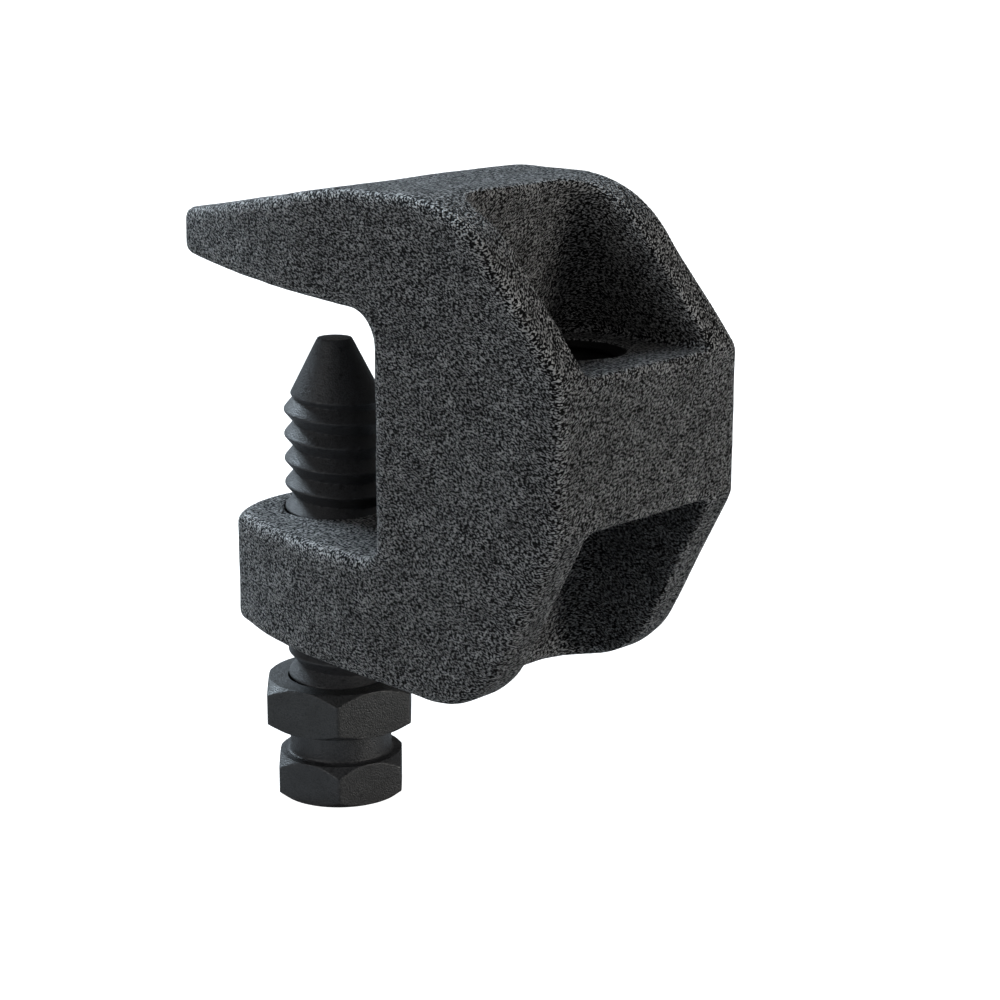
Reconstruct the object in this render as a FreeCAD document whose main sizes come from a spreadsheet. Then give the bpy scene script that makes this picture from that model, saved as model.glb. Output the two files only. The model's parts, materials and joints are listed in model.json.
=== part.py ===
import FreeCAD, Part
import os
import re
import Sketcher

# Cast beam clamp: a C-shaped body, a cone-point set screw and its lock nut.
#
# Millimetres, +Z up.  The origin is on the axis of the tapped rod hole, half-way
# up the block that the hole goes through.  +X points to the back of the body,
# away from the open throat, and the body is symmetric about the XZ plane.

SIZES = {
    # body, seen from the side
    "body_width": 24.6,          # across both cheeks
    "rod_to_screw": 29.1,        # rod hole axis to set screw axis
    "rod_to_back": 9.8,          # rod hole axis to the back face
    "block_height": 13.5,        # tapped block between the two pockets
    "screw_to_wall": 17.0,       # set screw axis to the throat wall
    "lower_reach": 8.1,          # set screw axis to the nose of the lower jaw
    "upper_reach": 14.3,         # set screw axis to the tip of the upper jaw
    "jaw_level": 12.35,          # top of the lower jaw, below the origin
    "throat_height": 22.3,       # at the throat wall
    "underside_slope": 4.1,      # degrees, upper jaw's underside, rising to the tip
    "tip_thick": 3.7,            # upper jaw at its tip
    "top_slope": 10.2,           # degrees, upper jaw's top, falling to the tip
    "upper_jaw_thick": 10.9,     # from the top of the throat wall up to the flat crown
    "back_slope": 49.8,          # degrees, from the crown down to the back face
    "lower_jaw_thick": 11.0,     # beside the set screw
    "bottom_slope": 2.1,         # degrees, underside, falling to the heel
    "heel_slope": 61.9,          # degrees, from the back face down to the heel
    # rounding of the side outline, as radii
    "crown_round": 32.0,
    "shoulder_round": 13.0,
    "heel_round": 10.3,
    "throat_top_round": 3.2,
    "throat_foot_round": 1.7,
    "back_round": 1.6,
    "edge_round": 1.0,           # along the outside of both cheeks
    # jaws, seen from above
    "nose_half": 8.3,            # half width where a jaw's side meets its front
    "nose_bow": 14.0,            # radius of a jaw's front
    "nose_corner": 2.4,          # radius between a jaw's front and side
    # pockets
    "cheek_wall": 3.9,
    "rod_to_web": 5.9,           # rod hole axis to the pockets' front wall
    "pocket_corner": 3.5,
    # holes
    "rod_hole": 4.25,            # radius, tap drill of a 10 mm rod thread
    "mouth_bevel": 0.45,
    "thread_gap": 0.06,          # set screw's running clearance in body and nut
    # set screw, with heights from the top of the lower jaw
    "screw_radius": 5.0,
    "thread_depth": 0.95,
    "thread_pitch": 2.4,
    "crest_flat": 0.3,
    "point_radius": 1.68,
    "point_level": 16.55,
    "cone_height": 5.25,
    "cone_step": 0.65,           # the cone's foot, inside the thread's crests
    "thread_end": 21.2,          # below the jaw top
    "head_level": 24.8,          # top face of the head, below the jaw top
    "head_rim": 1.0,             # from the shank out to the middle of a flat
    "head_height": 4.15,
    # lock nut
    "nut_level": 17.1,           # top face of the nut, below the jaw top
    "nut_wall": 2.0,             # from the thread's crests out to the middle of a flat
    "nut_height": 4.6,
    # both hexagons
    "hex_turn": 13.5,            # degrees from +X to a corner
    "upper_bevel": 1.0,          # fall of the corners at the top
    "lower_bevel": 0.72,         # rise of the corners at the foot
    # room around a cut, outside the solid
    "overcut": 5.0,
}

NOSE_X = "(-rod_to_screw - lower_reach)"
TIP_X = "(-rod_to_screw - upper_reach)"
WALL_X = "(screw_to_wall - rod_to_screw)"
THROAT_TOP = "(throat_height - jaw_level)"
TIP_UNDER = f"({THROAT_TOP} + (screw_to_wall + upper_reach) * tan(underside_slope))"
TIP_TOP = f"({TIP_UNDER} + tip_thick)"
CROWN = f"({THROAT_TOP} + upper_jaw_thick)"
CROWN_X = f"({TIP_X} + ({CROWN} - {TIP_TOP}) / tan(top_slope))"
SHOULDER_X = f"(rod_to_back - ({CROWN} - block_height / 2) / tan(back_slope))"
FOOT = "(-jaw_level - lower_jaw_thick)"
HEEL_FALL = (f"((-{FOOT} - block_height / 2 + (rod_to_back + rod_to_screw) * tan(bottom_slope))"
             " / (1 + tan(bottom_slope) / tan(heel_slope)))")
HEEL_X = f"(rod_to_back - {HEEL_FALL} / tan(heel_slope))"
HEEL_Z = f"(-block_height / 2 - {HEEL_FALL})"
POCKET_HALF = "(body_width / 2 - cheek_wall)"
THREAD_ROOT = "(screw_radius - thread_depth)"
CONE_BASE = "(screw_radius - cone_step)"
NEAR = 1e-3                      # how close an edge must be to the place that names it

doc = FreeCAD.newDocument("beam_clamp")
sheet = doc.addObject("Spreadsheet::Sheet", "Sizes")
for row, (word, value) in enumerate(SIZES.items(), start=1):
    sheet.set(f"A{row}", word)
    sheet.set(f"B{row}", str(value))
    sheet.setAlias(f"B{row}", word)
doc.recompute()


def bound(words):
    """The expression with every size in it pointed at its cell."""
    return re.sub(r"[a-z_]+", lambda m: f"Sizes.{m[0]}" if m[0] in SIZES else m[0], words)


def worth(words):
    """What an expression comes to, as a number."""
    result = sheet.evalExpression(bound(words))
    return float(getattr(result, "Value", result))


def new_body(label, x="0", z="0"):
    """A body that stands at x, z on the XZ plane."""
    body = doc.addObject("PartDesign::Body", label)
    body.Label = label
    body.setExpression("Placement.Base.x", bound(x))
    body.setExpression("Placement.Base.z", bound(z))
    return body


def new_sketch(body, name, plane, lift=None):
    """A sketch on one of the body's own planes, lifted off it by an expression."""
    sketch = body.newObject("Sketcher::SketchObject", name)
    support = next(o for o in body.Origin.OriginFeatures if o.Role == plane)
    sketch.AttachmentSupport = [(support, "")]
    sketch.MapMode = "FlatFace"
    if lift:
        sketch.setExpression("AttachmentOffset.Base.z", bound(lift))
    return sketch


def pin_point(sketch, edge, end, across, up):
    """Holds one end of an edge at two expressions, from the sketch's origin."""
    for kind, words in (("DistanceX", across), ("DistanceY", up)):
        held = sketch.addConstraint(Sketcher.Constraint(kind, -1, 1, edge, end, worth(words)))
        sketch.setExpression(f"Constraints[{held}]", bound(words))


def draw_polygon(sketch, corners):
    """A closed outline of straight sides through the corners, each a pair of expressions."""
    places = [FreeCAD.Vector(worth(x), worth(y), 0) for x, y in corners]
    first = sketch.GeometryCount
    for start, stop in zip(places, places[1:] + places[:1]):
        sketch.addGeometry(Part.LineSegment(start, stop), False)
    for n, (x, y) in enumerate(corners):
        after = first + (n + 1) % len(corners)
        sketch.addConstraint(Sketcher.Constraint("Coincident", first + n, 2, after, 1))
        pin_point(sketch, first + n, 1, x, y)


def draw_circle(sketch, x, y, radius):
    """A circle with its centre and radius at expressions."""
    centre = FreeCAD.Vector(worth(x), worth(y), 0)
    edge = sketch.addGeometry(Part.Circle(centre, FreeCAD.Vector(0, 0, 1), worth(radius)), False)
    pin_point(sketch, edge, 3, x, y)
    held = sketch.addConstraint(Sketcher.Constraint("Radius", edge, worth(radius)))
    sketch.setExpression(f"Constraints[{held}]", bound(radius))


def draw_jaw_plan(sketch, front, start):
    """A jaw from above: its sides bow in from start, and its front bows out to front."""
    half = "(body_width / 2)"
    corner_x = f"({front} + nose_bow - sqrt(nose_bow ^ 2 - nose_half ^ 2))"
    narrowing = f"({half} - nose_half)"
    side_bow = f"((({start} - {corner_x}) ^ 2 + {narrowing} ^ 2) / (2 * {narrowing}))"
    corners = [(start, f"-{half}"), ("rod_to_back + overcut", f"-{half}"),
               ("rod_to_back + overcut", half), (start, half),
               (corner_x, "nose_half"), (corner_x, "-nose_half")]
    spots = [FreeCAD.Vector(worth(x), worth(y), 0) for x, y in corners]
    low, low_back, high_back, high, high_corner, low_corner = spots
    # the side's circle touches the straight side at start, so its centre is level with it
    reach = (high.x - high_corner.x) / 2
    bulge = high.y - worth(side_bow) + (worth(side_bow) ** 2 - reach ** 2) ** 0.5
    sketch.addGeometry([
        Part.LineSegment(low, low_back),
        Part.LineSegment(low_back, high_back),
        Part.LineSegment(high_back, high),
        Part.Arc(high, FreeCAD.Vector(high.x - reach, bulge, 0), high_corner),
        Part.Arc(high_corner, FreeCAD.Vector(worth(front), 0, 0), low_corner),
        Part.Arc(low_corner, FreeCAD.Vector(high.x - reach, -bulge, 0), low),
    ], False)
    for n, (x, y) in enumerate(corners):
        sketch.addConstraint(Sketcher.Constraint("Coincident", n, 2, (n + 1) % 6, 1))
        pin_point(sketch, n, 1, x, y)
    for arc, radius in ((3, side_bow), (4, "nose_bow"), (5, side_bow)):
        held = sketch.addConstraint(Sketcher.Constraint("Radius", arc, worth(radius)))
        sketch.setExpression(f"Constraints[{held}]", bound(radius))


def pad(body, sketch, length, downward=False):
    """Adds the sketch's outline, length thick."""
    feature = body.newObject("PartDesign::Pad", sketch.Name + "_pad")
    feature.Profile = sketch
    feature.setExpression("Length", bound(length))
    feature.Reversed = downward
    doc.recompute()
    return feature


def must_cut(body, feature, before):
    """Stops the build if a cut took nothing away, because it then points the wrong way."""
    doc.recompute()
    if body.Shape.Volume > before - NEAR:
        raise RuntimeError(f"{feature.Label} cuts nothing")
    return feature


def pocket(body, sketch, upward=False, both_ways=False):
    """Cuts the sketch's outline right through, down from its plane unless told otherwise."""
    before = body.Shape.Volume
    feature = body.newObject("PartDesign::Pocket", sketch.Name + "_cut")
    feature.Profile = sketch
    feature.Type = "ThroughAll"
    feature.Reversed = upward
    feature.Midplane = both_ways
    return must_cut(body, feature, before)


def groove(body, sketch):
    """Cuts the sketch's outline away all round the sketch's vertical axis."""
    before = body.Shape.Volume
    feature = body.newObject("PartDesign::Groove", sketch.Name + "_cut")
    feature.Profile = sketch
    feature.ReferenceAxis = (sketch, ["V_Axis"])
    return must_cut(body, feature, before)


def is_at(edge, x=None, y=None, z=None):
    """Whether all of an edge keeps to the given coordinates."""
    box = edge.BoundBox
    sides = ((x, box.XMin, box.XMax), (y, box.YMin, box.YMax), (z, box.ZMin, box.ZMax))
    return all(want is None or max(abs(low - want), abs(high - want)) < NEAR
               for want, low, high in sides)


def edges_at(body, *places):
    """Names of the body's edges at any of the places, each a dict for is_at."""
    found = [f"Edge{n}" for n, edge in enumerate(body.Shape.Edges, start=1)
             if any(is_at(edge, **place) for place in places)]
    if len(found) < len(places):
        raise RuntimeError(f"{body.Label} has no edge at one of {places}")
    return found


def dress(body, kind, name, size, edges):
    """Rounds (Fillet) or bevels (Chamfer) the named edges by an expression."""
    base = body.Tip
    feature = body.newObject(f"PartDesign::{kind}", name)
    feature.Base = (base, edges)
    feature.setExpression("Radius" if kind == "Fillet" else "Size", bound(size))
    doc.recompute()
    return feature


def make_blank(body):
    """The outside: the jaws' plans above and below the origin, cut to the side outline.

    Both jaws have one plan.  The lower one starts to narrow at the throat wall, and
    the upper one further forward by as much as it is longer.
    """
    upper = new_sketch(body, "upper_plan", "XY_Plane")
    draw_jaw_plan(upper, TIP_X, f"({WALL_X} - upper_reach + lower_reach)")
    pad(body, upper, f"{CROWN} + overcut")
    lower = new_sketch(body, "lower_plan", "XY_Plane")
    draw_jaw_plan(lower, NOSE_X, WALL_X)
    pad(body, lower, f"-{HEEL_Z} + overcut", downward=True)
    side = new_sketch(body, "side_outline", "XZ_Plane")
    beyond = f"({TIP_X} - overcut)"
    draw_polygon(side, [
        (f"{beyond} - overcut", f"{HEEL_Z} - 2 * overcut"),
        ("rod_to_back + 2 * overcut", f"{HEEL_Z} - 2 * overcut"),
        ("rod_to_back + 2 * overcut", f"{CROWN} + 2 * overcut"),
        (f"{beyond} - overcut", f"{CROWN} + 2 * overcut"),
    ])
    draw_polygon(side, [
        (beyond, "-jaw_level"), (WALL_X, "-jaw_level"), (WALL_X, THROAT_TOP),
        (beyond, f"{TIP_UNDER} + overcut * tan(underside_slope)"),
        (beyond, f"{TIP_TOP} - overcut * tan(top_slope)"), (CROWN_X, CROWN),
        (SHOULDER_X, CROWN), ("rod_to_back", "block_height / 2"),
        ("rod_to_back", "-block_height / 2"), (HEEL_X, HEEL_Z),
        (beyond, f"{FOOT} - ({beyond} + rod_to_screw) * tan(bottom_slope)"),
    ])
    pocket(body, side, both_ways=True)


def round_outside(body):
    """Rounds the side outline, then the jaws' corners, then the outside of both cheeks."""
    spots = (
        ("crown_round", CROWN_X, CROWN),
        ("shoulder_round", SHOULDER_X, CROWN),
        ("heel_round", HEEL_X, HEEL_Z),
        ("throat_top_round", WALL_X, THROAT_TOP),
        ("throat_foot_round", WALL_X, "-jaw_level"),
        ("back_round", "rod_to_back", "block_height / 2"),
        ("back_round", "rod_to_back", "-block_height / 2"),
    )
    for n, (size, x, z) in enumerate(spots):
        place = {"x": worth(x), "z": worth(z)}
        dress(body, "Fillet", f"outline_{n}", size, edges_at(body, place))
    bow = worth("nose_bow - sqrt(nose_bow ^ 2 - nose_half ^ 2)")
    corners = [{"x": worth(front) + bow, "y": side * worth("nose_half")}
               for front in (TIP_X, NOSE_X) for side in (1, -1)]
    dress(body, "Fillet", "jaw_corners", "nose_corner", edges_at(body, *corners))
    dress(body, "Fillet", "cheek_edges", "edge_round", cheek_edges(body.Shape))


def cheek_edges(shape):
    """Names of the edges between a cheek, or a jaw's bowed side, and what it meets."""
    names = []
    for n, edge in enumerate(shape.Edges, start=1):
        middle = edge.valueAt((edge.FirstParameter + edge.LastParameter) / 2)
        across = []
        for face in shape.ancestorsOfType(edge, Part.Face):
            across.append(abs(face.normalAt(*face.Surface.parameter(middle)).y))
        if max(across) > 0.75 and min(across) < 0.5:
            names.append(f"Edge{n}")
    return names


def cut_pockets(body):
    """The two pockets between the cheeks, over and under the tapped block."""
    for name, lift, upward in (("upper_pocket", "block_height / 2", True),
                               ("lower_pocket", "-block_height / 2", False)):
        sketch = new_sketch(body, name, "XY_Plane", lift)
        draw_polygon(sketch, [
            ("-rod_to_web", f"-{POCKET_HALF}"), ("rod_to_back + overcut", f"-{POCKET_HALF}"),
            ("rod_to_back + overcut", POCKET_HALF), ("-rod_to_web", POCKET_HALF),
        ])
        pocket(body, sketch, upward=upward)
    corners = [{"x": worth("-rod_to_web"), "y": side * worth(POCKET_HALF)} for side in (1, -1)]
    dress(body, "Fillet", "pocket_corners", "pocket_corner", edges_at(body, *corners))


def cut_holes(body):
    """The tapped rod hole, bevelled at both mouths, and the set screw's hole."""
    rod = new_sketch(body, "rod_hole", "XY_Plane")
    draw_circle(rod, "0", "0", "rod_hole")
    pocket(body, rod, both_ways=True)
    reach = worth("rod_hole")
    mouths = [f"Edge{n}" for n, edge in enumerate(body.Shape.Edges, start=1)
              if isinstance(edge.Curve, Part.Circle) and abs(edge.Curve.Radius - reach) < NEAR]
    dress(body, "Chamfer", "rod_mouths", "mouth_bevel", mouths)
    screw = new_sketch(body, "screw_hole", "XY_Plane")
    draw_circle(screw, "-rod_to_screw", "0", "screw_radius + thread_gap")
    pocket(body, screw)


def make_clamp_body():
    """The one-piece casting."""
    body = new_body("clamp_body")
    make_blank(body)
    round_outside(body)
    cut_pockets(body)
    cut_holes(body)
    return body


def add_hexagon(body, name, inside, top, height):
    """A hexagonal prism below top, its corners bevelled at both ends.

    inside is the distance from the axis to the middle of a flat.
    """
    outside = f"({inside} / cos(30))"
    plan = new_sketch(body, name + "_plan", "XY_Plane", top)
    draw_polygon(plan, [(f"{outside} * cos(hex_turn + {60 * n})",
                         f"{outside} * sin(hex_turn + {60 * n})") for n in range(6)])
    pad(body, plan, height, downward=True)
    run = f"({outside} - {inside})"
    for end, level, sign, depth in (("top", f"({top})", "+", "upper_bevel"),
                                    ("foot", f"({top} - {height})", "-", "lower_bevel")):
        inward = "-" if sign == "+" else "+"
        ring = new_sketch(body, f"{name}_{end}", "XZ_Plane")
        draw_polygon(ring, [
            (inside, level),
            (inside, f"{level} {sign} 1"),
            (f"{outside} + {run}", f"{level} {sign} 1"),
            (f"{outside} + {run}", f"{level} {inward} 2 * {depth}"),
        ])
        groove(body, ring)


def make_set_screw():
    """Cone point, thread, plain shank under the nut, and hexagonal head."""
    body = new_body("set_screw", x="-rod_to_screw", z="-jaw_level")
    half = new_sketch(body, "screw_half", "XZ_Plane")
    cone_foot = "(point_level - cone_height)"
    cone_rise = f"(cone_step * cone_height / ({CONE_BASE} - point_radius))"
    draw_polygon(half, [
        ("0", "-head_level - head_height / 2"), ("screw_radius", "-head_level - head_height / 2"),
        ("screw_radius", f"{cone_foot} - {cone_rise}"), ("point_radius", "point_level"),
        ("0", "point_level"),
    ])
    turned = body.newObject("PartDesign::Revolution", "screw_blank")
    turned.Profile = half
    turned.ReferenceAxis = (half, ["V_Axis"])
    doc.recompute()
    cut_thread(body)
    add_hexagon(body, "head", "(screw_radius + head_rim)", "-head_level", "head_height")
    return body


def cut_thread(body):
    """The thread's V groove, wound down from above the cone's foot to the plain shank."""
    before = body.Shape.Volume
    vee = new_sketch(body, "thread_vee", "XZ_Plane")
    start = "(-thread_end)"
    half_mouth = "((thread_pitch - crest_flat) / 2)"
    spread = "((thread_depth + 1) / thread_depth)"
    draw_polygon(vee, [
        (THREAD_ROOT, start),
        ("screw_radius + 1", f"{start} - {half_mouth} * {spread}"),
        ("screw_radius + 1", f"{start} + {half_mouth} * {spread}"),
    ])
    winding = body.newObject("PartDesign::SubtractiveHelix", "thread")
    winding.Profile = vee
    winding.ReferenceAxis = (vee, ["V_Axis"])
    winding.Mode = "pitch-height-angle"
    winding.setExpression("Pitch", bound("thread_pitch"))
    winding.setExpression(
        "Height", bound("thread_end + point_level - cone_height + thread_pitch / 2"))
    winding.LeftHanded = True
    must_cut(body, winding, before)


def make_lock_nut():
    """The hexagonal lock nut."""
    body = new_body("lock_nut", x="-rod_to_screw", z="-jaw_level")
    add_hexagon(body, "nut", "(screw_radius + nut_wall)", "-nut_level", "nut_height")
    bore = new_sketch(body, "nut_bore", "XY_Plane")
    draw_circle(bore, "0", "0", "screw_radius + thread_gap")
    pocket(body, bore, both_ways=True)
    return body


def export(bodies):
    """Checks the document and every solid, then writes one file for each."""
    failed = [o.Label for o in doc.Objects if {"Invalid", "Error"} & set(o.State)]
    if failed:
        raise RuntimeError(f"these did not recompute: {failed}")
    for body in bodies:
        shape = body.Shape
        if shape.isNull() or not shape.isValid() or len(shape.Solids) != 1:
            raise RuntimeError(f"{body.Label} is not one valid solid")
    os.makedirs("parts", exist_ok=True)
    for body in bodies:
        body.Shape.exportStep(f"parts/{body.Label}.step")


parts = [make_clamp_body(), make_set_screw(), make_lock_nut()]
doc.recompute()
export(parts)
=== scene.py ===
import json
import math

import bpy
import numpy as np
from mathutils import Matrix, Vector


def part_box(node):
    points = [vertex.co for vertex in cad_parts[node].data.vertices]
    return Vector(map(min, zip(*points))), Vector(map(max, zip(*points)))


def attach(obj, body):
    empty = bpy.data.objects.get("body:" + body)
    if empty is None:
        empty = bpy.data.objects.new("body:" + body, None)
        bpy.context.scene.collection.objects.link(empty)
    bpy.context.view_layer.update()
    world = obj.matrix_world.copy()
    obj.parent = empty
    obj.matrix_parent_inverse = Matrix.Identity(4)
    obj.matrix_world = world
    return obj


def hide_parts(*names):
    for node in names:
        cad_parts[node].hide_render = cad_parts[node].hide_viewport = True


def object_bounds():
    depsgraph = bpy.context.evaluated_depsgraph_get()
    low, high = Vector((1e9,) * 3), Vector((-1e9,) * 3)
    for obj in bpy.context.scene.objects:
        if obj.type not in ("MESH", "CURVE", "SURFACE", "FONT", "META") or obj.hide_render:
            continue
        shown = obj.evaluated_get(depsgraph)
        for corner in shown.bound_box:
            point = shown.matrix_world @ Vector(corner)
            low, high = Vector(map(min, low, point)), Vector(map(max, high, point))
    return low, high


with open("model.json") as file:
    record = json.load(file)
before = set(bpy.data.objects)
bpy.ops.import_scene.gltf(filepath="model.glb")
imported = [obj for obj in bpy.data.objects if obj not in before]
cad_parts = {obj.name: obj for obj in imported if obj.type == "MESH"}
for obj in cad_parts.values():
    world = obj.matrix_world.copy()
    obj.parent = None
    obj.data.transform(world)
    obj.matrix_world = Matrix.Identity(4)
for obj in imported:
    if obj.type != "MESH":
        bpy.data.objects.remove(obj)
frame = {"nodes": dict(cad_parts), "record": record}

import openvdb
from mathutils import Vector

# Looks of a cast beam clamp: the sand-cast body, its blackened set screw and lock nut,
# a pale floor and soft studio light.  Metres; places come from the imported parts.

MM = 0.001
CAD_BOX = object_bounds()


# ---------------------------------------------------------------- places and sizes

def mount(name):
    """A mount's record, by its name."""
    return next(m for m in frame["record"]["mounts"] if m["name"] == name)


BODY_LOW, BODY_HIGH = (np.array(corner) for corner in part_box("clamp_body"))
NUT_LOW, NUT_HIGH = (np.array(corner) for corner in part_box("lock_nut"))
SCREW_LOW, SCREW_HIGH = (np.array(corner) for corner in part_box("set_screw"))

ROD_RADIUS = mount("rod_thread")["dims"]["r_mm"] * MM
BLOCK_HALF = mount("rod_thread")["dims"]["length_mm"] * MM / 2
ROD_ROOT = 5.0 * MM                  # radius at the roots of the rod hole's thread
ROD_PITCH = 1.5 * MM
SCREW_X = mount("screw_point")["pos_m"][0]
JAW_TOP = -12.35 * MM                # top face of the lower jaw
JAW_FOOT = -23.35 * MM               # its underside, at the set screw
JAW_FOOT_SLOPE = math.radians(2.1)   # the underside falls towards the heel

SCREW_RADIUS = 5.0 * MM
THREAD_DEPTH = 0.95 * MM
THREAD_PITCH = 2.4 * MM
CREST_FLAT = 0.15 * MM
THREAD_END = JAW_TOP - 21.2 * MM     # the lowest root crosses the +X side at this height
RUNOUT = 0.9 * MM                    # height over which the thread fades out
POINT_RADIUS = 1.68 * MM
POINT_RIM = 0.05 * MM                # rounding round the flat end of the point
CONE_HEIGHT = 5.25 * MM
CONE_FOOT_RADIUS = 4.35 * MM
COLLAR = 0.35 * MM                   # rounding from the shank to the head
HEAD_TOP = JAW_TOP - 24.8 * MM
HEAD_HALF = 6.0 * MM                 # screw's axis to a flat of its head
NUT_HALF = 7.0 * MM                  # the same for the lock nut
NUT_GAP = 0.07 * MM                  # set screw's crests to the nut's bore
HEX_TURN = math.radians(13.5)        # from +X to a corner of both hexagons
CHAMFER_TOP = 1.0 * MM               # how far the hexagons' corners are turned off
CHAMFER_FOOT = 0.72 * MM
CHAMFER_EASE = 0.04 * MM
FACE_INSET = 0.14 * MM               # rim of a turned face to the flats


# ---------------------------------------------------------------- meshes

SHARP = math.radians(20)             # faces that meet at more than this show an edge


def closed_grid(name, rows, wrap_rows=False):
    """A mesh from rows of points, each row closed on itself.

    rows has the shape (row, column, xyz).  Neighbouring points are joined by quads.
    Unless the rows close up on each other, the first and last row each shrink to a pole.
    """
    count, columns = rows.shape[:2]
    if wrap_rows:
        points = rows.reshape(-1, 3)
        start = np.arange(count)[:, None] * columns
        stop = (np.arange(count)[:, None] + 1) % count * columns
    else:
        points = np.concatenate([rows[:1].mean(1), rows[1:-1].reshape(-1, 3), rows[-1:].mean(1)])
        start = 1 + np.arange(count - 3)[:, None] * columns
        stop = start + columns
    here = np.arange(columns)[None]
    after = (here + 1) % columns
    quads = np.stack([start + here, start + after, stop + after, stop + here], -1).reshape(-1, 4)
    faces = quads.tolist()
    if not wrap_rows:
        last = len(points) - 1
        ring = 1 + (count - 3) * columns
        faces += [[0, 1 + (n + 1) % columns, 1 + n] for n in range(columns)]
        faces += [[last, ring + n, ring + (n + 1) % columns] for n in range(columns)]
    mesh = bpy.data.meshes.new(name)
    mesh.from_pydata(points.tolist(), [], faces)
    mesh.shade_smooth()
    mesh.set_sharp_from_angle(angle=SHARP)
    piece = bpy.data.objects.new(name, mesh)
    bpy.context.scene.collection.objects.link(piece)
    return piece


def soft_min(a, b, ease):
    """The smaller of two lengths, eased over a corner of about the given size."""
    gap = np.clip(0.5 + (b - a) / (2 * ease), 0, 1)
    return b + (a - b) * gap - ease * gap * (1 - gap)


def soft_max(a, b, ease):
    """The larger of two lengths, eased like soft_min."""
    return -soft_min(-a, -b, ease)


def blur(field, sigma):
    """A volume blurred by a bell curve of the given width in cells, axis by axis."""
    reach = int(math.ceil(3 * sigma))
    weights = np.exp(-0.5 * (np.arange(-reach, reach + 1) / sigma) ** 2)
    weights /= weights.sum()
    for axis in range(3):
        padded = np.pad(field, [(reach, reach) if n == axis else (0, 0) for n in range(3)], "edge")
        out = np.zeros_like(field)
        for n, weight in enumerate(weights):
            out += np.float32(weight) * np.take(padded, np.arange(n, n + field.shape[axis]), axis)
        field = out
    return field


def unevenness(shape, seed, sigma):
    """Smooth random bumps of one size, with a standard deviation of one."""
    field = blur(np.random.default_rng(seed).standard_normal(shape, dtype=np.float32), sigma)
    return field / field.std()


# ---------------------------------------------------------------- the casting

CELL = 0.36 * MM
BAND = 9                             # cells on each side of the surface that hold a distance
MOULD_BLUR = 0.18 * MM               # how far sand casting eases every edge and corner
HOLE_GAP = 0.06 * MM                 # set screw's crests to the casting
HOLE_MOUTH = 0.1 * MM                # easing round the mouths of both holes
PLUG = 1.5 * MM                      # extra radius with which a hole is filled
ABOVE_JAW = 3.0 * MM                 # how far over the lower jaw its hole is bored
UNEVEN = ((3, 2.6 * MM, 0.045 * MM), (4, 0.9 * MM, 0.02 * MM))   # seed, width, height


def cast_body():
    """The casting's skin, as the zero surface of a distance field.

    The field is the distance to the designed body with its two holes filled.  It is
    blurred, which rounds edges and fills inner corners as a mould does, and gently
    uneven.  The holes are then bored as plain cylinders with eased mouths, the set
    screw's only through the lower jaw.
    """
    source = frame["nodes"]["clamp_body"].data
    source.calc_loop_triangles()
    points = np.zeros(len(source.vertices) * 3, np.float32)
    source.vertices.foreach_get("co", points)
    corners = np.zeros(len(source.loop_triangles) * 3, np.int32)
    source.loop_triangles.foreach_get("vertices", corners)
    low = BODY_LOW - 4 * CELL
    grid = openvdb.FloatGrid.createLevelSetFromPolygons(
        ((points.reshape(-1, 3) - low) / CELL).astype(np.float32),
        triangles=corners.reshape(-1, 3).astype(np.uint32),
        exBandWidth=BAND, inBandWidth=BAND)
    shape = tuple(int(n) for n in np.ceil((BODY_HIGH - low) / CELL) + 5)
    field = np.zeros(shape, np.float32)
    grid.copyToArray(field)
    field *= np.float32(CELL)
    x, y, z = (low[n] + CELL * np.arange(shape[n], dtype=np.float32) for n in range(3))
    x, y, z = x[:, None, None], y[None, :, None], z[None, None, :]

    from_rod = np.hypot(x, y)
    from_screw = np.hypot(x - SCREW_X, y)
    foot = JAW_FOOT - (x - SCREW_X) * math.tan(JAW_FOOT_SLOPE)
    rod_fill = np.maximum(from_rod - ROD_RADIUS - PLUG, np.abs(z) - BLOCK_HALF)
    jaw = np.maximum(z - JAW_TOP, foot - z)
    screw_fill = np.maximum(from_screw - SCREW_RADIUS - PLUG, jaw)
    field = np.minimum(field, np.minimum(rod_fill, screw_fill))
    field = blur(field, MOULD_BLUR / CELL)
    bend = sum(np.gradient(np.gradient(field, axis=n), axis=n) for n in range(3)) / CELL ** 2
    for seed, size, height in UNEVEN:
        field += np.float32(height) * unevenness(shape, seed, size / CELL)
    field = soft_max(field, ROD_ROOT - from_rod, HOLE_MOUTH)
    bored = np.minimum(SCREW_RADIUS + HOLE_GAP - from_screw, JAW_TOP + ABOVE_JAW - z)
    field = soft_max(field, bored, HOLE_MOUTH)

    skin = openvdb.FloatGrid(background=float(BAND * CELL))
    skin.copyFromArray(np.ascontiguousarray(field, np.float32), tolerance=0.0)
    places, quads = skin.convertToQuads(isovalue=0.0)
    nearest = np.clip(np.rint(places).astype(int), 0, np.array(shape) - 1)
    curved = bend[nearest[:, 0], nearest[:, 1], nearest[:, 2]]
    mesh = bpy.data.meshes.new("cast_body")
    mesh.from_pydata((places * CELL + low).tolist(), [], quads.tolist())
    edge = mesh.attributes.new("edge", "FLOAT", "POINT")
    edge.data.foreach_set("value", np.clip(curved * MM, -1, 1).astype(np.float32))
    mesh.shade_smooth()
    piece = bpy.data.objects.new("cast_body", mesh)
    bpy.context.scene.collection.objects.link(piece)
    return piece


# ---------------------------------------------------------------- hexagons and threads

def hexagon(turn, across):
    """Radius of a hexagon with slightly blunt corners, at each angle.

    It is the distance to a flat over the length of the cosines to the six flats'
    directions, added as high powers, so the corner between two flats is rounded.
    """
    power = 90.0
    middles = HEX_TURN + math.radians(30) + math.radians(60) * np.arange(6)
    cosines = np.clip(np.cos(turn[:, None] - middles[None]), 0, None)
    return across / (cosines ** power).sum(1) ** (1 / power)


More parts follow.
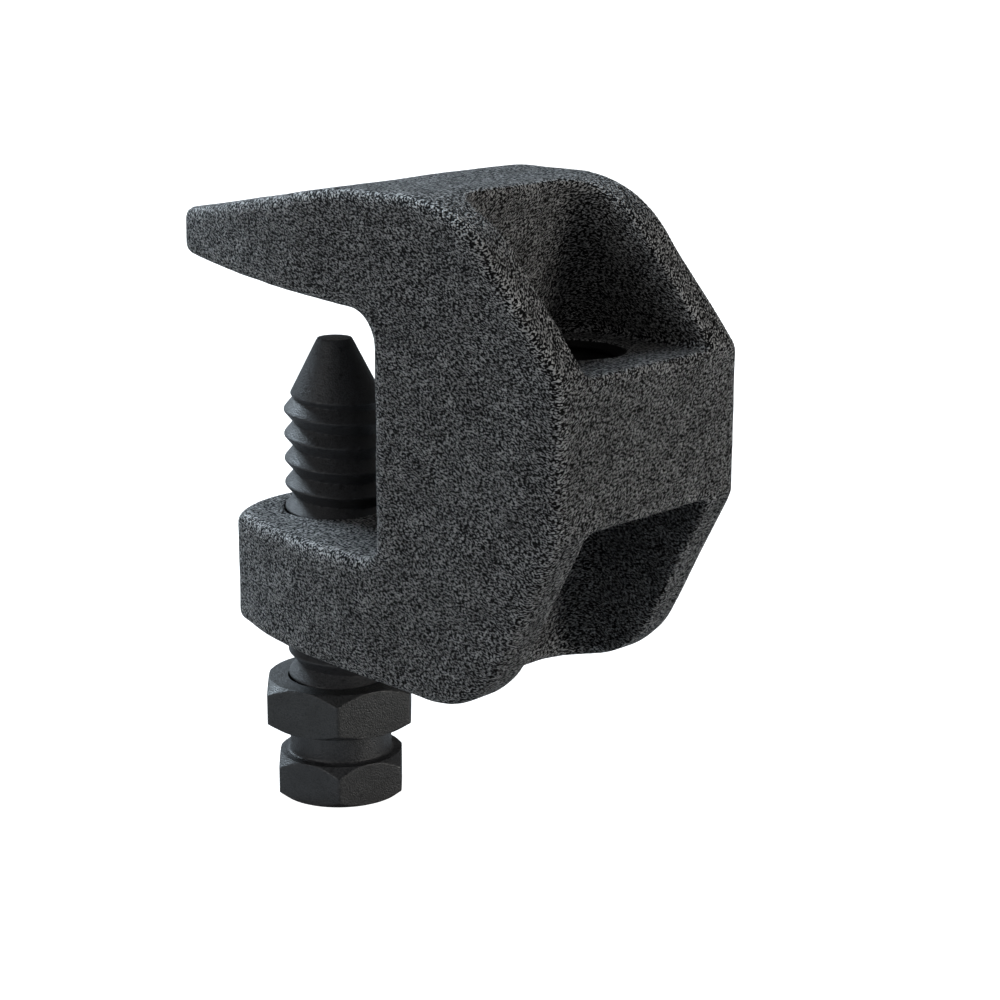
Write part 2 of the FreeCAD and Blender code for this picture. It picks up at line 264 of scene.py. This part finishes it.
def hex_angles():
    """Angles round a hexagon, closer together towards its corners."""
    side = np.linspace(-1, 1, 33)[:-1]
    side = np.sign(side) * (1 - (1 - np.abs(side)) ** 1.6) * math.radians(30)
    middles = HEX_TURN + math.radians(30) + math.radians(60) * np.arange(6)
    return (middles[:, None] + side[None]).ravel()


def hex_side(turn, across, top, foot):
    """Rows of radii down a hexagon's sides, with the corners turned off at both ends.

    Each end is a cone that starts at the flats' own distance and reaches the corners
    after the chamfer's height.  The side is the smallest of the cones and the hexagon.
    """
    run = across / math.cos(math.radians(30)) - across
    share = 0.5 - 0.5 * np.cos(np.linspace(0, math.pi, 64))
    levels = top + (foot - top) * share
    six = hexagon(turn, across)[None]
    upper = across + run * (top - levels[:, None]) / CHAMFER_TOP
    lower = across + run * (levels[:, None] - foot) / CHAMFER_FOOT
    radii = soft_min(soft_min(six, upper, CHAMFER_EASE), lower, CHAMFER_EASE)
    return levels, radii


def left_hand_thread(turn, levels):
    """Radius of the threaded shank at each level and angle.

    The height wound up a left-hand helix is folded into the distance from the nearest
    root.  The radius rises in proportion to it up a straight flank, to a flat crest.
    """
    wound = (levels[:, None] - THREAD_END) / THREAD_PITCH + turn[None] / (2 * math.pi)
    from_root = np.abs(wound - np.rint(wound)) * THREAD_PITCH
    rise = from_root / ((THREAD_PITCH - CREST_FLAT) / 2)
    return SCREW_RADIUS - THREAD_DEPTH * (1 - soft_min(rise, np.ones_like(rise), 0.04))


def around(x, turn, radii, levels):
    """Points at each radius and angle about a vertical line at x."""
    rows = np.empty(radii.shape + (3,))
    rows[..., 0] = x + radii * np.cos(turn)[None]
    rows[..., 1] = radii * np.sin(turn)[None]
    rows[..., 2] = np.broadcast_to(levels.reshape(len(radii), -1), radii.shape)
    return rows


def ring_rows(turn, radii, levels):
    """Plain round rows, for the flat and turned ends of a piece."""
    return np.repeat(np.asarray(radii)[:, None], len(turn), 1), np.asarray(levels)


def set_screw():
    """Cone point, left-hand thread, plain shank and hexagonal head, as one closed surface."""
    turn = hex_angles()
    point = SCREW_HIGH[2]
    slope = (CONE_FOOT_RADIUS - POINT_RADIUS) / CONE_HEIGHT
    flat_end = POINT_RADIUS - POINT_RIM
    tip = ring_rows(turn, np.array([0.0, 0.35, 0.7, 0.93, 1.0]) * flat_end, np.full(5, point))
    bend = np.radians([20, 45, 68])
    tip_edge = ring_rows(turn, flat_end + POINT_RIM * np.sin(bend),
                         point - POINT_RIM + POINT_RIM * np.cos(bend))

    levels = np.arange(point - 0.3 * MM, THREAD_END - 2.2 * MM, -0.08 * MM)
    cone = POINT_RADIUS + slope * (point - levels)[:, None]
    shaft = left_hand_thread(turn, levels)
    runout = np.clip((levels - THREAD_END + RUNOUT) / RUNOUT, 0, 1)[:, None]
    shaft = SCREW_RADIUS - (SCREW_RADIUS - shaft) * runout
    body = soft_min(cone, shaft, 0.12 * MM)

    collar = np.radians([10, 40, 70])
    neck = ring_rows(turn, SCREW_RADIUS + COLLAR * (1 - np.cos(collar)),
                     HEAD_TOP + COLLAR * (1 - np.sin(collar)))
    face = ring_rows(turn, [SCREW_RADIUS + COLLAR, 5.6 * MM, HEAD_HALF - 0.12 * MM],
                     np.full(3, HEAD_TOP))
    side_levels, side = hex_side(turn, HEAD_HALF, HEAD_TOP, SCREW_LOW[2])
    foot_radii = np.array([1.0, 0.9, 0.6, 0.3, 0.0]) * (HEAD_HALF - FACE_INSET)
    foot = ring_rows(turn, foot_radii, np.full(5, SCREW_LOW[2]))
    sections = (tip, tip_edge, (body, levels), neck, face, (side, side_levels), foot)
    rows = [around(SCREW_X, turn, radii, heights) for radii, heights in sections]
    return closed_grid("blackened_set_screw", np.concatenate(rows)[::-1])


def lock_nut():
    """The lock nut: hexagonal outside, flat faces, and a bore barely eased at both ends."""
    turn = hex_angles()
    top, foot = NUT_HIGH[2], NUT_LOW[2]
    bore = SCREW_RADIUS + NUT_GAP
    sink = 0.08 * MM
    face = [bore + sink, bore + sink + 0.1 * MM, 6.2 * MM, NUT_HALF - FACE_INSET]
    side_levels, side = hex_side(turn, NUT_HALF, top, foot)
    lid = ring_rows(turn, face, np.full(4, top))
    floor = ring_rows(turn, face[::-1], np.full(4, foot))
    wall_levels = np.linspace(foot + sink, top - sink, 9)
    wall = ring_rows(turn, np.full(len(wall_levels), bore), wall_levels)
    sections = (lid, (side, side_levels), floor, wall)
    rows = [around(SCREW_X, turn, radii, heights) for radii, heights in sections]
    return closed_grid("blackened_lock_nut", np.concatenate(rows)[::-1], wrap_rows=True)


def rod_hole_thread():
    """The tapped wall of the rod hole: a ring let into the casting's bore.

    Its radius falls from the bevelled mouths to the crests and back to the roots, as a
    straight-sided wave of the height wound up a right-hand helix.
    """
    turn = np.linspace(0, 2 * math.pi, 97)[:-1]
    end = BLOCK_HALF - 0.12 * MM
    levels = np.linspace(end, -end, 133)
    wound = levels[:, None] / ROD_PITCH - turn[None] / (2 * math.pi)
    from_crest = 2 * np.abs(wound - np.rint(wound))
    wall = ROD_RADIUS + (ROD_ROOT - ROD_RADIUS) * from_crest
    mouth = ROD_ROOT + 0.06 * MM - (end - np.abs(levels))[:, None]
    wall = soft_max(wall, mouth, 0.05 * MM)
    back = ring_rows(turn, [ROD_ROOT + 0.3 * MM] * 2, [-end, end])
    rows = [around(0.0, turn, radii, heights) for radii, heights in ((wall, levels), back)]
    return closed_grid("rod_hole_thread", np.concatenate(rows), wrap_rows=True)


# ---------------------------------------------------------------- materials

def new_group(name, inputs, outputs):
    """A shader node group with the given (name, kind, value) inputs and (name, kind) outputs."""
    tree = bpy.data.node_groups.new(name, "ShaderNodeTree")
    for label, kind, value in inputs:
        socket = tree.interface.new_socket(label, in_out="INPUT", socket_type=kind)
        if value is not None:
            socket.default_value = value
    for label, kind in outputs:
        tree.interface.new_socket(label, in_out="OUTPUT", socket_type=kind)
    return tree, tree.nodes.new("NodeGroupInput").outputs, tree.nodes.new("NodeGroupOutput").inputs


def add(tree, kind, settings=None, **inputs):
    """A node with its settings, and its inputs each set to a value or linked to a socket."""
    node = tree.nodes.new("ShaderNode" + kind)
    for word, value in (settings or {}).items():
        setattr(node, word, value)
    for word, value in inputs.items():
        socket = node.inputs[int(word[1:]) if word[0] == "_" else word.replace("_", " ")]
        if isinstance(value, bpy.types.NodeSocket):
            tree.links.new(value, socket)
        else:
            socket.default_value = value
    return node


def math_node(tree, operation, *values):
    """The result of a maths node on the given values or sockets."""
    return add(tree, "Math", {"operation": operation},
               **{f"_{n}": value for n, value in enumerate(values)}).outputs[0]


def ramp(tree, factor, low, high, start=0.0, stop=1.0):
    """factor stretched from the range low to high onto start to stop, and held there."""
    return add(tree, "MapRange", None, Value=factor, From_Min=low, From_Max=high,
               To_Min=start, To_Max=stop).outputs[0]


def blend_colour(tree, factor, first, second):
    """A mix of two colours."""
    node = add(tree, "Mix", {"data_type": "RGBA"})
    for socket, value in ((node.inputs[0], factor), (node.inputs[6], first), (node.inputs[7], second)):
        if isinstance(value, bpy.types.NodeSocket):
            tree.links.new(value, socket)
        else:
            socket.default_value = value
    return node.outputs[2]


GRAIN_ACROSS = Vector((-0.354, 0.521, -0.777)).normalized()   # square to the ridges
PIT_BLACK = (0.0002, 0.0002, 0.0002, 1)
RIDGE_GREY = (0.40, 0.40, 0.401, 1)
SCREW_BLUE_BLACK = (0.026, 0.0265, 0.0285, 1)
NUT_BLACK = (0.024, 0.0245, 0.025, 1)


def grey(value):
    """An opaque grey."""
    return (value, value, value, 1)


def sand_grain_group():
    """Short wormy ridges that lean one way, as a sand mould leaves on iron.

    A place is measured across the ridges and along two lines square to that.  The last
    two measures are shrunk before the noise is read, so its blobs grow into ridges on
    every face.
    """
    tree, given, result = new_group(
        "sand grain",
        [("Vector", "NodeSocketVector", None), ("Ridges per metre", "NodeSocketFloat", 14000.0),
         ("Lean", "NodeSocketFloat", 0.28)],
        [("Height", "NodeSocketFloat"), ("Patches", "NodeSocketFloat")])
    level = GRAIN_ACROSS.cross(Vector((0, 0, 1))).normalized()
    across, *along = (add(tree, "VectorMath", {"operation": "DOT_PRODUCT"}, _0=given["Vector"],
                          _1=tuple(line)).outputs["Value"]
                      for line in (GRAIN_ACROSS, level, GRAIN_ACROSS.cross(level)))
    shrunk = [math_node(tree, "MULTIPLY", measure, given["Lean"]) for measure in along]
    lined_up = add(tree, "CombineXYZ", None, X=across, Y=shrunk[0], Z=shrunk[1])
    fine = add(tree, "TexNoise", None, Vector=lined_up.outputs[0],
               Scale=given["Ridges per metre"], Detail=0.5, Roughness=0.45, Distortion=0.4)
    broad = add(tree, "TexNoise", None, Vector=given["Vector"], Scale=420.0, Detail=2.0,
                Roughness=0.6)
    tree.links.new(fine.outputs["Fac"], result["Height"])
    tree.links.new(broad.outputs["Fac"], result["Patches"])
    return tree


def oxide_group():
    """Blotches, pits, fine mottling and turning lines of chemically blackened steel."""
    tree, given, result = new_group(
        "black oxide",
        [("Vector", "NodeSocketVector", None), ("Blotches per metre", "NodeSocketFloat", 350.0)],
        [("Blotches", "NodeSocketFloat"), ("Pits", "NodeSocketFloat"), ("Mottling", "NodeSocketFloat"),
         ("Turning", "NodeSocketFloat")])
    blotches = add(tree, "TexNoise", None, Vector=given["Vector"], Scale=given["Blotches per metre"],
                   Detail=6.0, Roughness=0.65, Distortion=0.3)
    pits = add(tree, "TexNoise", None, Vector=given["Vector"], Scale=1500.0, Detail=3.0,
               Roughness=0.6)
    flat = add(tree, "VectorMath", {"operation": "MULTIPLY"}, _0=given["Vector"],
               _1=(0.02, 0.02, 1.0))
    lines = add(tree, "TexNoise", None, Vector=flat.outputs[0], Scale=6000.0, Detail=2.0,
                Roughness=0.7)
    mottling = add(tree, "TexNoise", None, Vector=given["Vector"], Scale=6500.0, Detail=1.0,
                   Roughness=0.5)
    tree.links.new(blotches.outputs["Fac"], result["Blotches"])
    tree.links.new(ramp(tree, pits.outputs["Fac"], 0.28, 0.42), result["Pits"])
    tree.links.new(ramp(tree, mottling.outputs["Fac"], 0.36, 0.64), result["Mottling"])
    tree.links.new(lines.outputs["Fac"], result["Turning"])
    return tree


def new_material(name):
    """A material with an empty tree but for its output and a principled shader."""
    material = bpy.data.materials.new(name)
    material.use_nodes = True
    tree = material.node_tree
    return material, tree, tree.nodes["Principled BSDF"]


def cast_iron():
    """Black, rough cast iron: grey ridges over black pits, paler along the convex edges, partly as
    worn edges and partly as a painted edge highlight.
    """
    material, tree, shader = new_material("black_cast_iron")
    place = add(tree, "TexCoord").outputs["Object"]
    grain = add(tree, "Group", {"node_tree": SAND_GRAIN}, Vector=place)
    height, patches = grain.outputs["Height"], grain.outputs["Patches"]
    tone = math_node(tree, "POWER", ramp(tree, height, 0.5, 0.59), 1.3)
    shade = blend_colour(tree, tone, PIT_BLACK, RIDGE_GREY)
    patchy = ramp(tree, patches, 0.35, 0.65, 0.8, 1.15)
    edge = add(tree, "Attribute", {"attribute_name": "edge"}).outputs["Fac"]
    # Convex edges are lightened in the colour: partly edge wear, partly a painted highlight along the
    # rounded rims.
    painted_edge_highlight_and_wear = ramp(tree, edge, 0.1, 0.6, 0.0, 0.25)
    tone_wear_and_edge_highlight = math_node(tree, "ADD", patchy, painted_edge_highlight_and_wear)
    colour = add(tree, "HueSaturation", None, Color=shade, Value=tone_wear_and_edge_highlight).outputs[0]
    tree.links.new(colour, shader.inputs["Base Color"])
    rough = ramp(tree, height, 0.4, 0.62, 0.8, 0.4)
    tree.links.new(rough, shader.inputs["Roughness"])
    shader.inputs["Specular IOR Level"].default_value = 0.12
    bump = add(tree, "Bump", None, Height=height, Strength=1.0, Distance=0.4 * MM)
    tree.links.new(bump.outputs[0], shader.inputs["Normal"])
    return material


def cut_iron():
    """Iron laid bare by the tap, coloured near black as painted shade for the deep hole: smooth, with
    fine turning lines.
    """
    material, tree, shader = new_material("tapped_cast_iron")
    place = add(tree, "TexCoord").outputs["Object"]
    finish = add(tree, "Group", {"node_tree": BLACK_OXIDE}, Vector=place)
    # Near-black colour: painted shade standing in for the darkness inside the rod hole.
    colour = blend_colour(tree, ramp(tree, finish.outputs["Blotches"], 0.35, 0.65),
                          grey(0.004), grey(0.012))
    tree.links.new(colour, shader.inputs["Base Color"])
    turning = finish.outputs["Turning"]
    tree.links.new(ramp(tree, turning, 0.3, 0.7, 0.4, 0.6), shader.inputs["Roughness"])
    bump = add(tree, "Bump", None, Height=turning, Strength=0.2, Distance=0.05 * MM)
    tree.links.new(bump.outputs[0], shader.inputs["Normal"])
    shader.inputs["Specular IOR Level"].default_value = 0.1
    return material


def black_oxide(name, bluish, roughness):
    """Satin blackened steel, blotchy, pitted and faintly lined by the lathe."""
    material, tree, shader = new_material(name)
    place = add(tree, "TexCoord").outputs["Object"]
    finish = add(tree, "Group", {"node_tree": BLACK_OXIDE}, Vector=place)
    blotches, pits, mottling, turning = finish.outputs
    darker = tuple(0.72 * c for c in bluish[:3]) + (1,)
    clean = blend_colour(tree, ramp(tree, blotches, 0.35, 0.65), bluish, darker)
    marked = blend_colour(tree, pits, (0.008, 0.008, 0.009, 1), clean)
    speckle = ramp(tree, mottling, 0.0, 1.0, 0.75, 1.6)
    colour = add(tree, "HueSaturation", None, Color=marked, Value=speckle).outputs[0]
    tree.links.new(colour, shader.inputs["Base Color"])
    patchy = ramp(tree, blotches, 0.3, 0.7, -0.06, 0.08)
    mottled = ramp(tree, mottling, 0.0, 1.0, roughness - 0.14, roughness + 0.14)
    rough = math_node(tree, "ADD", patchy, mottled)
    tree.links.new(rough, shader.inputs["Roughness"])
    shader.inputs["Metallic"].default_value = 0.0
    shader.inputs["Specular IOR Level"].default_value = 0.5
    dents = math_node(tree, "MULTIPLY_ADD", pits, 0.6, mottling)
    height = math_node(tree, "MULTIPLY_ADD", turning, 0.25, dents)
    bump = add(tree, "Bump", None, Height=height, Strength=0.4, Distance=0.04 * MM)
    tree.links.new(bump.outputs[0], shader.inputs["Normal"])
    return material


def pale_floor():
    """Matt off-white."""
    material, tree, shader = new_material("pale_floor")
    place = add(tree, "TexCoord").outputs["Object"]
    cloud = add(tree, "TexNoise", None, Vector=place, Scale=6.0, Detail=3.0).outputs["Fac"]
    colour = blend_colour(tree, cloud, grey(0.29), grey(0.31))
    tree.links.new(colour, shader.inputs["Base Color"])
    shader.inputs["Roughness"].default_value = 0.9
    seen = add(tree, "LightPath").outputs["Is Camera Ray"]
    shader.inputs["Emission Color"].default_value = (1, 1, 1, 1)
    tree.links.new(ramp(tree, seen, 0.0, 1.0, 0.0, 1.1), shader.inputs["Emission Strength"])
    return material


# ---------------------------------------------------------------- the stage

LAMPS = (   # name, azimuth, elevation, distance, size, power, colour
    ("left_lamp", -95, 42, 0.6, 0.26, 6.3, (0.76, 0.89, 1.0)),
    ("front_lamp", -4, 12, 0.8, 0.3, 1.6, (1, 1, 1)),
    ("right_lamp", 112, 0, 0.7, 0.22, 3.3, (1.0, 0.97, 0.92)))
DIM = 0.13                           # the surroundings, as the clamp sees them
CAMERA_AIM = Vector((-3.26, -5.08, -6.47)) * MM
CAMERA_DISTANCE = 223.7 * MM
CAMERA_AZIMUTH, CAMERA_ELEVATION = 41.99, 14.28


def lay_floor():
    """A broad floor at the lowest point of the clamp."""
    level = CAD_BOX[0][2]
    half = 12.0
    mesh = bpy.data.meshes.new("floor")
    corners = [(-half, -half, level), (half, -half, level), (half, half, level), (-half, half, level)]
    mesh.from_pydata(corners, [], [(0, 1, 2, 3)])
    mesh.materials.append(pale_floor())
    piece = bpy.data.objects.new("floor", mesh)
    bpy.context.scene.collection.objects.link(piece)


def soft_light(name, azimuth, elevation, distance, size, power, colour):
    """A square area light that looks at the clamp's middle."""
    light = bpy.data.lights.new(name, "AREA")
    light.shape = "SQUARE"
    light.size = size
    light.energy = power
    light.color = colour
    lamp = bpy.data.objects.new(name, light)
    bpy.context.scene.collection.objects.link(lamp)
    aim = (Vector(CAD_BOX[0]) + Vector(CAD_BOX[1])) / 2
    lamp.location = aim + distance * direction(azimuth, elevation)
    lamp.rotation_euler = (aim - lamp.location).to_track_quat("-Z", "Y").to_euler()


def direction(azimuth, elevation):
    """Unit vector towards an azimuth (0 looks from the -Y side, 90 from +X) and elevation."""
    a, e = math.radians(azimuth), math.radians(elevation)
    return Vector((math.sin(a) * math.cos(e), -math.cos(a) * math.cos(e), math.sin(e)))


def light_the_stage():
    """White surroundings for the camera, dim ones for the clamp, and soft lamps."""
    world = bpy.data.worlds.new("studio")
    bpy.context.scene.world = world
    world.use_nodes = True
    tree = world.node_tree
    back = tree.nodes["Background"]
    seen = add(tree, "LightPath").outputs["Is Camera Ray"]
    tree.links.new(ramp(tree, seen, 0.0, 1.0, DIM, 1.0), back.inputs["Strength"])
    back.inputs["Color"].default_value = (1, 1, 1, 1)
    for lamp in LAMPS:
        soft_light(*lamp)
    scene = bpy.context.scene
    scene.view_settings.view_transform = "Standard"
    scene.view_settings.look = "None"


def place_camera():
    """A long lens, 42 degrees round from the side and 14 degrees up."""
    data = bpy.data.cameras.new("camera")
    data.lens = 91.0
    data.sensor_width = 36.0
    camera = bpy.data.objects.new("camera", data)
    bpy.context.scene.collection.objects.link(camera)
    towards = direction(CAMERA_AZIMUTH, CAMERA_ELEVATION)
    camera.location = CAMERA_AIM + CAMERA_DISTANCE * towards
    camera.rotation_euler = (CAMERA_AIM - camera.location).to_track_quat("-Z", "Y").to_euler()
    bpy.context.scene.camera = camera


# ---------------------------------------------------------------- making

SAND_GRAIN = sand_grain_group()
BLACK_OXIDE = oxide_group()

place_camera()
light_the_stage()
lay_floor()

body = cast_body()
body.data.materials.append(cast_iron())
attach(body, "clamp")
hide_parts("clamp_body")

tapping = rod_hole_thread()
tapping.data.materials.append(cut_iron())
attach(tapping, "clamp")

screw = set_screw()
screw.data.materials.append(black_oxide("blackened_screw_steel", SCREW_BLUE_BLACK, 0.5))
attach(screw, "screw")
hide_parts("set_screw")

nut = lock_nut()
nut.data.materials.append(black_oxide("blackened_nut_steel", NUT_BLACK, 0.46))
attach(nut, "nut")
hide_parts("lock_nut")
